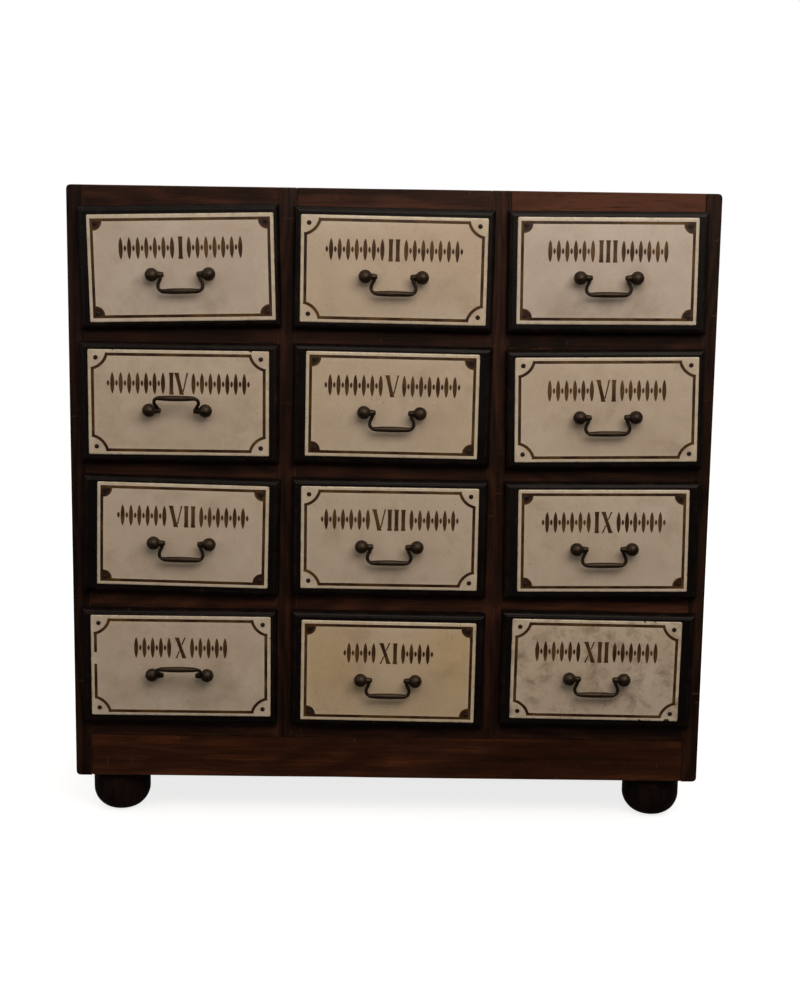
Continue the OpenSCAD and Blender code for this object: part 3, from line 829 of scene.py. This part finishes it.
def tail_outline(z, grow):
    """One dovetail from the side: (y, z) from its upper root round its end to its lower root."""
    root_y = INNER_FRONT_T - SLIDE_GAP
    end_y = root_y - TAIL_L - grow
    narrow = TAIL_NARROW / 2 + grow
    wide = TAIL_NARROW / 2 + TAIL_FLARE + grow
    return [(root_y, z + narrow), (end_y, z + wide), (end_y, z - wide), (root_y, z - narrow)]


def drawer_box(d):
    """Dovetailed box behind the front: sides with tails, inner front, back and bottom."""
    box_half = OPENING_W / 2 - SIDE_GAP
    inner_half = box_half - BOX_SIDE_T
    lo_z = -OPENING_H / 2 + SLIDE_GAP
    hi_z = lo_z + OPENING_H - OPENING_SLACK
    root_y = INNER_FRONT_T - SLIDE_GAP
    pitch = (hi_z - lo_z) / TAILS
    mids = [lo_z + (i + 0.5) * pitch for i in range(TAILS)]
    made = BARE_WOOD, "drawer_wood", "box", Matrix.Translation(d.opening)
    seed = 300 + 40 * d.row + 10 * d.col

    for s, side in ((-1, "left"), (1, "right")):
        shape = Shape(seed + s)
        outline = [(root_y, lo_z), (BOX_BACK, lo_z), (BOX_BACK, hi_z), (root_y, hi_z)]
        for z in mids[::-1]:
            outline += tail_outline(z, 0)
        lo_x, hi_x = sorted((s * box_half, s * inner_half))
        extrude(shape, outline, "X", lo_x, hi_x, "Y", 0.5 * MM, 0.4 * MM)
        d.piece(shape, f"side_{side}", *made, tone=0.5 + 0.1 * s)

    shape = Shape(seed + 2)
    lo, hi = (-inner_half, 0, lo_z), (inner_half, root_y, hi_z)
    board(shape, lo, hi, "X", 0.5 * MM, caps=(False, False))
    sockets = [(0.3 * MM, lo_z), (root_y, lo_z)]
    for z in mids:
        sockets += tail_outline(z, 0.15 * MM)[::-1]
    sockets += [(root_y, hi_z), (0.3 * MM, hi_z)]
    for x0, x1 in ((-box_half, -inner_half), (inner_half, box_half)):
        extrude(shape, sockets, "X", x0, x1, "X", 0.3 * MM, 0.25 * MM, (x0 < 0, x0 > 0))
    d.piece(shape, "inner_front", *made, tone=0.45)

    shape = Shape(seed + 3)
    floor_z = lo_z + GROOVE_UP
    y_back = BOX_BACK - BOX_SIDE_T
    lo = (-inner_half, y_back - BOX_SIDE_T, floor_z + BOX_BOTTOM_T)
    board(shape, lo, (inner_half, y_back, hi_z), "X", 0.6 * MM)
    d.piece(shape, "back", *made, tone=0.55)

    shape = Shape(seed + 4)
    lo = (-inner_half, root_y, floor_z)
    hi = (inner_half, BOX_BACK - 0.5 * MM, floor_z + BOX_BOTTOM_T)
    board(shape, lo, hi, "X", 0.4 * MM)
    d.piece(shape, "bottom", *made, tone=0.6)


# ---- enamelled plates


def plate_rise(x, z, width):
    """How far the enamel stands off the board at points of the plate: rolled edge, low dome."""
    u, v = np.abs(x) / (width / 2), np.abs(z) / (PLATE_H / 2)
    to_edge = np.minimum(width / 2 - np.abs(x), PLATE_H / 2 - np.abs(z))
    roll = PLATE_ROLL * np.sqrt(np.clip(1 - (1 - np.clip(to_edge / (1.4 * MM), 0, 1)) ** 2, 0, 1))
    return 0.1 * MM + roll + PLATE_DOME * np.clip(1 - u**5, 0, 1) * np.clip(1 - v**3, 0, 1)


YELLOW = (0.12, 0.45, 0.05), (0.3, 0.45, 0.3), (0.3, 0.3, 0.3), (0.3, 0.95, 0.35)
STAINS = (0.12, 0.1, 0.1), (0.2, 0.1, 0.1), (0.1, 0.1, 0.1), (0.25, 0.1, 1.0)
PLATE_INSETS = 0.05, 0.2, 0.5, 0.9, 1.4, 2.2, 3.5, 5.5, 8, 11, 15, 20, 26, 33, 41, 50, 58


def plate(d):
    """The plate itself, closed at the back."""
    shape = d.shape(500)
    stations = [(1.5 * MM, 0, 0.6), (0, 0, 1), (0, 0.06 * MM, 1)]
    for inset in PLATE_INSETS:
        stations.append((inset * MM, None, np.interp(inset, (0, 1.2, 3, 14), (1, 0.75, 0.35, 0))))
    rings, wear = [], []
    for inset, depth, w in stations:
        radius = max(PLATE_CORNER_R - inset, 0.3 * MM)
        outline, _ = rounded_rect(d.plate_w / 2 - inset, PLATE_H / 2 - inset, radius, 16, 10, 4)
        x, z = outline[:, 0], outline[:, 1]
        rise = plate_rise(x, z, d.plate_w) if depth is None else np.full(len(x), depth)
        rings.append(np.stack([x, -rise, z], 1))
        wear.append(np.full(len(x), w))
    shape.skin(rings, np.concatenate(wear))
    obj = d.piece(shape, "plate", ENAMEL, "enamel", "plate", tone=d.own(YELLOW), sharp=60)
    obj["stains"] = d.own(STAINS)


def decal(shape, d, stations, columns=2):
    """A thin layer of paint on the enamel. Stations are pairs of points (x, z), left and right."""
    rings = []
    share = np.linspace(0, 1, columns + 1)[:, None]
    for left, right in stations:
        row = np.asarray(left) * (1 - share) + np.asarray(right) * share
        rise = plate_rise(row[:, 0], row[:, 1], d.plate_w)
        top = np.stack([row[:, 0], -rise - PAINT_UP, row[:, 1]], 1)
        under = np.stack([row[:, 0], -rise + PAINT_DOWN, row[:, 1]], 1)[::-1]
        rings.append(np.concatenate([top, under]))
    shape.skin(rings)


def line(shape, d, path, width):
    """A painted line of the given width along an open path."""
    path = np.asarray(path, float)
    run = unit(np.gradient(path, axis=0))
    across = np.stack([-run[:, 1], run[:, 0]], 1) * width / 2
    decal(shape, d, list(zip(path + across, path - across)))


def straight(a, b, step=9 * MM):
    count = max(2, int(np.hypot(b[0] - a[0], b[1] - a[1]) / step))
    shares = np.linspace(0, 1, count + 1)
    return [(a[0] + (b[0] - a[0]) * f, a[1] + (b[1] - a[1]) * f) for f in shares]


def disc_corners(d):
    """Where each quarter disc has its middle, with the two ways it faces, and the line's middle."""
    out_w = d.plate_w / 2 - 4.1 * MM
    out_h = PLATE_H / 2 - (4.8 * MM if d.row == 1 else 4.2 * MM)
    middles = [(sx * (out_w - DISC_LINE), sz * (out_h - DISC_LINE), sx, sz) for sx, sz in CORNERS]
    return middles, out_w, out_h


def disc_arc(x, z, sx, sz, radius):
    return [(x - sx * a, z - sz * b) for a, b in arc_points((0, 0), radius, 0, 90, 13)]


def quarter_disc_border(shape, d):
    """Line near the edge that rings a dark quarter disc in each corner."""
    middles, out_w, out_h = disc_corners(d)
    mid_w, mid_h = out_w - DISC_LINE / 2, out_h - DISC_LINE / 2
    for s in (-1, 1):
        line(shape, d, straight((-out_w, s * mid_h), (out_w, s * mid_h)), DISC_LINE)
        ends = (s * mid_w, -out_h + DISC_LINE), (s * mid_w, out_h - DISC_LINE)
        line(shape, d, straight(*ends), DISC_LINE)
    for corner in middles:
        line(shape, d, disc_arc(*corner, DISC - DISC_LINE - DISC_RING / 2), DISC_RING)


def quarter_discs(d):
    shape = d.shape(650)
    for corner in disc_corners(d)[0]:
        rim = disc_arc(*corner, DISC - DISC_LINE - DISC_RING)
        decal(shape, d, [(corner[:2], p) for p in rim], 4)
    d.piece(shape, "corners", DISC_PAINT, "enamel")


def scooped_border(shape, d, gap):
    """Line near the edge with concave round corners. gap is where the left side is lost."""
    corner_w, corner_h = d.plate_w / 2, PLATE_H / 2
    w, h = corner_w - BORDER_INSET[0], corner_h - BORDER_INSET[1]
    end_w, end_h = (half - SCOOP + 0.4 * MM for half in (corner_w, corner_h))
    for s in (-1, 1):
        line(shape, d, straight((-end_w, s * h), (end_w, s * h)), SCOOP_LINE)
    line(shape, d, straight((w, -end_h), (w, end_h)), SCOOP_LINE)
    for lo, hi in [(-end_h, gap[0]), (gap[1], end_h)] if gap else [(-end_h, end_h)]:
        line(shape, d, straight((-w, lo), (-w, hi)), SCOOP_LINE)
    start = degrees(np.arcsin((corner_h - h - SCOOP_LINE / 2) / SCOOP))
    arc = arc_points((0, 0), SCOOP, start, 90 - start, 13)
    for sx, sz in CORNERS:
        line(shape, d, [(sx * (corner_w - a), sz * (corner_h - b)) for a, b in arc], SCOOP_LINE)


def border(d):
    shape = d.shape(600)
    if d.quarter_discs:
        quarter_disc_border(shape, d)
    else:
        scooped_border(shape, d, (2 * MM, 17 * MM) if (d.row, d.col) == (4, 1) else None)
    d.piece(shape, "border", LINE_PAINT, "enamel")
    if d.quarter_discs:
        quarter_discs(d)


# ---- generic stencilled drawer numbers


def leaf(shape, d, x, height, width, power):
    """Pointed upright stroke, widest in the middle."""
    rows = []
    for t in np.linspace(0.02, 0.98, 9):
        half, z = width / 2 * sin(pi * t) ** power, LABEL_UP + height * (t - 0.5)
        rows.append(((x - half, z), (x + half, z)))
    decal(shape, d, rows, 1)


def stem(shape, d, x, slant=0.0, width=4.6 * MM, lo=-0.5, hi=0.5):
    """Thick stroke of a numeral, flared at its ends. slant moves its top to the right."""
    rows = []
    for t in np.linspace(lo, hi, 9):
        flare = width / 2 * (1 + 0.28 * (2 * abs(t)) ** 5)
        mid, z = x + slant * t, LABEL_UP + LABEL_H * t
        rows.append(((mid - flare, z), (mid + flare, z)))
    decal(shape, d, rows, 1)


def hairline(shape, d, x, slant, lo, hi):
    stem(shape, d, x, slant, 1.7 * MM, lo, hi)


def numeral_five(shape, d, x):
    stem(shape, d, x - 3.2 * MM, -6.5 * MM)
    hairline(shape, d, x + 4.0 * MM, 6.0 * MM, -0.36, 0.5)


def numeral_ten(shape, d, x):
    stem(shape, d, x, -9.5 * MM)
    for lo, hi in (0.14, 0.5), (-0.5, -0.14):
        hairline(shape, d, x, 11 * MM, lo, hi)


NUMERALS = {"I": (stem, 8.5 * MM), "V": (numeral_five, 17 * MM), "X": (numeral_ten, 17 * MM)}
LABEL_LENGTHS = (155, 178, 152), (180, 176, 150), (172, 180, 166), (124, 118, 162)


def roman(number):
    """Drawer numbers 1 to 12 in dial numerals."""
    out = ""
    for value, mark in (10, "X"), (9, "IX"), (5, "V"), (4, "IV"), (1, "I"):
        while number >= value:
            out, number = out + mark, number - value
    return out


def label(d):
    """The drawer's number between two rows of upright leaves with small lozenges between them."""
    shape = d.shape(700)
    marks = roman((d.row - 1) * COLS + d.col)
    span = sum(NUMERALS[m][1] for m in marks)
    x = -span / 2
    for mark in marks:
        draw, width = NUMERALS[mark]
        draw(shape, d, x + width / 2)
        x += width
    half = d.own(LABEL_LENGTHS) * MM / 2
    count = max(1, round((half - span / 2 - LEAF_MARGIN) / LEAF_PITCH))
    for s in (-1, 1):
        for i in range(count):
            at_x = s * (span / 2 + LEAF_MARGIN + i * LEAF_PITCH)
            size = (LABEL_H, 5.2 * MM, 0.6) if i % 2 == 0 else (8 * MM, 3.4 * MM, 0.9)
            leaf(shape, d, at_x, *size)
    d.piece(shape, "number", STENCIL_PAINT, "enamel")


# ---- metalwork


def screw_head(shape, x, z, rise, angle):
    """Domed head with a slot, made of two halves over a sunk floor."""
    slot_half, slot_floor, height, sunk = 0.42 * MM, 0.35 * MM, 1.05 * MM, -0.3 * MM
    c, s = cos(angle), sin(angle)

    def put(points):
        return [(x + a * c - b * s, -rise - h, z + a * s + b * c) for a, b, h in points]

    def half_ring(side, radius, height_here):
        start = np.arcsin(slot_half / radius)
        turns = np.linspace(start, pi - start, 15)
        return put([(radius * cos(t), side * radius * sin(t), height_here) for t in turns])

    for side in (-1, 1):
        rings = [half_ring(side, SCREW_R, sunk)]
        for k in np.linspace(0, 1, 6):
            radius = max(SCREW_R * cos(k * pi / 2 * 0.86), slot_half * 1.3)
            rings.append(half_ring(side, radius, height * sin(k * pi / 2)))
        shape.skin(rings)
    reach = SCREW_R * 0.96
    bar = [(-reach, -slot_half), (reach, -slot_half), (reach, slot_half), (-reach, slot_half)]
    shape.skin([put([(a, b, h) for a, b in bar]) for h in (sunk, slot_floor)])


def screws(d):
    shape = d.shape(800)
    for sx, sz in CORNERS:
        x, z = sx * (d.plate_w / 2 - SCREW_INSET), sz * (PLATE_H / 2 - SCREW_INSET)
        screw_head(shape, x, z, plate_rise(x, z, d.plate_w), shape.rng.uniform(0, pi))
    d.piece(shape, "screws", SCREW_METAL, "handle_metal", "posts", sharp=35)


def posts(d):
    """Two turned posts: foot, neck and ball."""
    shape = d.shape(820)
    ball_y = -PLATE_T - BALL_OUT
    rise = plate_rise(POST_SPAN / 2, -POST_DROP, d.plate_w)
    neck = [(4.7, 0.2), (4.75, -0.6), (4.3, -1.4), (3.5, -2.1), (3.0, -3.4), (3.05, -4.6)]
    neck = [(2 * MM, 1.0 * MM)] + [(r * MM, y * MM - rise) for r, y in neck]
    top = neck[-1][1]
    turns = np.linspace(0.42, pi - 0.02, 22)
    ball = [(BALL_R * sin(t), ball_y + BALL_R * cos(t)) for t in turns]
    ball = [(r, y) for r, y in ball if y < top - 0.2 * MM]
    wear = [0] * len(neck) + [np.clip((top - y) / (2 * BALL_R), 0, 0.7) for _, y in ball]
    for s in (-1, 1):
        lathe(shape, neck + ball, "Y", (s * POST_SPAN / 2, 0, -POST_DROP), 40, wear)
    d.piece(shape, "posts", HANDLE_METAL, "handle_metal", "posts", sharp=50)


def nuts(d):
    """Hexagonal nuts on the stud ends, inside the drawer."""
    shape = d.shape(840)
    start = FRONT_T + INNER_FRONT_T + 0.1 * MM
    turns = np.linspace(0, 2 * pi, 36, endpoint=False)
    across = 4.35 * MM
    hexagon = across / np.cos((turns % (pi / 3)) - pi / 6)
    turned = np.minimum(hexagon, across * 1.03)
    profile = [(turned, 0), (hexagon, 0.5), (hexagon, 3.5), (turned, 4.0), (2.2 * MM, 4.0)]
    profile += [(2.0 * MM, 3.7), (1.95 * MM, 5.5), (1.5 * MM, 5.9)]
    profile = [(r, start + up * MM) for r, up in profile]
    for x in (-POST_SPAN / 2, POST_SPAN / 2):
        lathe(shape, profile, "Y", (x, 0, -POST_DROP), len(turns), [0] * len(profile))
    d.piece(shape, "nuts", NAIL_METAL, "handle_metal", "posts", sharp=30)


def smooth_path(points, per_span):
    """Catmull-Rom curve through points."""
    p = np.asarray(points, float)
    p = np.concatenate([[2 * p[0] - p[1]], p, [2 * p[-1] - p[-2]]])
    out = []
    for a, b, c, e in zip(p, p[1:], p[2:], p[3:]):
        for t in np.linspace(0, 1, per_span, endpoint=False):
            bend = (2 * a - 5 * b + 4 * c - e) * t**2 + (3 * b - a - 3 * c + e) * t**3
            out.append(0.5 * (2 * b + (c - a) * t + bend))
    return np.array(out + [p[-2]])


def bail(d):
    """Drop bail: pins, barrel knuckles, bowed arms and a grip that swells towards its middle."""
    shape = d.shape(860)
    half = [(0, 0), (1.3, -5.0), (3.7, -10.5), (4.2, -14.5), (2.4, -18.2)]
    half = [(KNUCKLE_X + x * MM, z * MM) for x, z in half]
    half += [(KNUCKLE_X - 1.8 * MM, -BAIL_DROP), (12 * MM, -BAIL_DROP)]
    whole = smooth_path(half + [(0, -BAIL_DROP)] + [(-x, z) for x, z in half[::-1]], 7)
    x, z = whole[:, 0], whole[:, 1]
    swell = np.clip(1 - (np.abs(x) / (KNUCKLE_X + 1 * MM)) ** 2, 0, 1) * (z < -BAIL_DROP * 0.85)
    thin = WIRE_R * (1 + 0.22 * np.clip(1 + z / (9 * MM), 0, 1))
    radii = np.maximum(thin, WIRE_R + (GRIP_R - WIRE_R) * swell**0.55)
    tube(shape, np.stack([x, 0 * x, z], 1), radii, 20, 0.25 + 0.6 * swell)
    barrel = [(0.3, -3.3), (2.2, -3.0), (3.1, -2.2), (3.5, -0.8), (3.6, 1.0), (3.9, 2.8)]
    barrel = [(r * MM, t * MM) for r, t in barrel + [(4.1, 4.0), (2.4, 3.2)]]
    barrel += [(2.0 * MM, POST_SPAN / 2 - BALL_R + 4 * MM - KNUCKLE_X)]
    wear = [0.2, 0.4, 0.6, 0.7, 0.6, 0.5, 0.3, 0, 0]
    for s in (-1, 1):
        lathe(shape, [(r, s * t) for r, t in barrel], "X", (s * KNUCKLE_X, 0, 0), 28, wear)
    at = d.pivot @ Matrix.Rotation(-radians(d.bail_angle), 4, "X")
    d.piece(shape, "bail", HANDLE_METAL, "handle_metal", "bail", at, d.bail_body, sharp=50)


def drawers():
    for d in DRAWERS:
        for make in (moulded_front, drawer_box, plate, border, label, screws, posts, nuts, bail):
            make(d)


# ---- studio


def camera():
    """Stands in front of the cabinet, a little above its middle, and looks slightly down."""
    data = bpy.data.cameras.new("camera")
    data.sensor_width, data.lens = 36, 57.6
    data.clip_start, data.clip_end = 0.05, 200
    obj = new_object("camera", data)
    turned = Matrix.Rotation(radians(YAW), 4, "Z") @ Matrix.Rotation(radians(PITCH), 4, "X")
    turned = turned @ Matrix.Rotation(radians(ROLL), 4, "Y")
    look = turned @ Matrix.Rotation(pi / 2, 4, "X")
    stand = Vector((-0.007, FACE_Y - 1.988, FOOT_H + 0.684))
    obj.matrix_world = Matrix.Translation(stand) @ look
    bpy.context.scene.camera = obj


def area_light(name, place, target, size, power, colour):
    data = bpy.data.lights.new(name, "AREA")
    data.shape, (data.size, data.size_y) = "RECTANGLE", size
    data.energy, data.color = power, colour
    obj = new_object(name, data)
    obj.location = place
    obj.rotation_euler = (Vector(target) - Vector(place)).to_track_quat("-Z", "Y").to_euler()


def world():
    """White to the camera. To everything else a warm fill, bright overhead and dark below."""
    made = bpy.data.worlds.new("studio")
    bpy.context.scene.world = made
    made.use_nodes = True
    nodes = Nodes(made.node_tree)
    background = made.node_tree.nodes["Background"]
    seen = nodes.node("ShaderNodeLightPath").outputs["Is Camera Ray"]
    way = nodes.node("ShaderNodeTexCoord").outputs["Generated"]
    up = nodes.node("ShaderNodeSeparateXYZ", {0: way}).outputs["Z"]
    fill = nodes.remap(up, 0.0, 1.0, 0.05, 0.7)
    strength = nodes.node("ShaderNodeMix", {"Factor": seen, "A": fill, "B": 1.0}).outputs[0]
    nodes.give(background.inputs["Strength"], strength)
    nodes.give(background.inputs["Color"], nodes.mix(seen, (1.0, 0.95, 0.88), (1, 1, 1)))


def floor():
    """Plain pale floor, matt, out to the horizon."""
    mesh = bpy.data.meshes.new("floor")
    half = 60
    spots = [(-half, -half, 0), (half, -half, 0), (half, half, 0), (-half, half, 0)]
    mesh.from_pydata(spots, [], [(0, 1, 2, 3)])
    s = Surface("floor_pale", Roughness=0.9, Specular_IOR_Level=0.0, Emission_Strength=0.8)
    s.set(Base_Color=(0.5, 0.5, 0.5), Emission_Color=(1, 1, 1))
    mesh.materials.append(s.material)
    obj = new_object("floor", mesh)
    obj.visible_diffuse = False
    obj.visible_glossy = False


def studio():
    camera()
    world()
    floor()
    area_light("key", (0.45, -1.55, 1.5), (0.1, -0.15, 1.05), (1.4, 0.9), 16.5, (1.0, 0.9, 0.8))
    area_light("fill", (-1.8, -1.5, 1.2), (0, 0, 0.4), (1.2, 1.2), 4, (1.0, 0.95, 0.9))
    area_light("back_fill", (0.4, 2.4, 1.6), (0, 0, 0.4), (1.6, 1.2), 16, (1.0, 0.97, 0.94))


bpy.context.scene.view_settings.view_transform = "Standard"
studio()
case()
drawers()
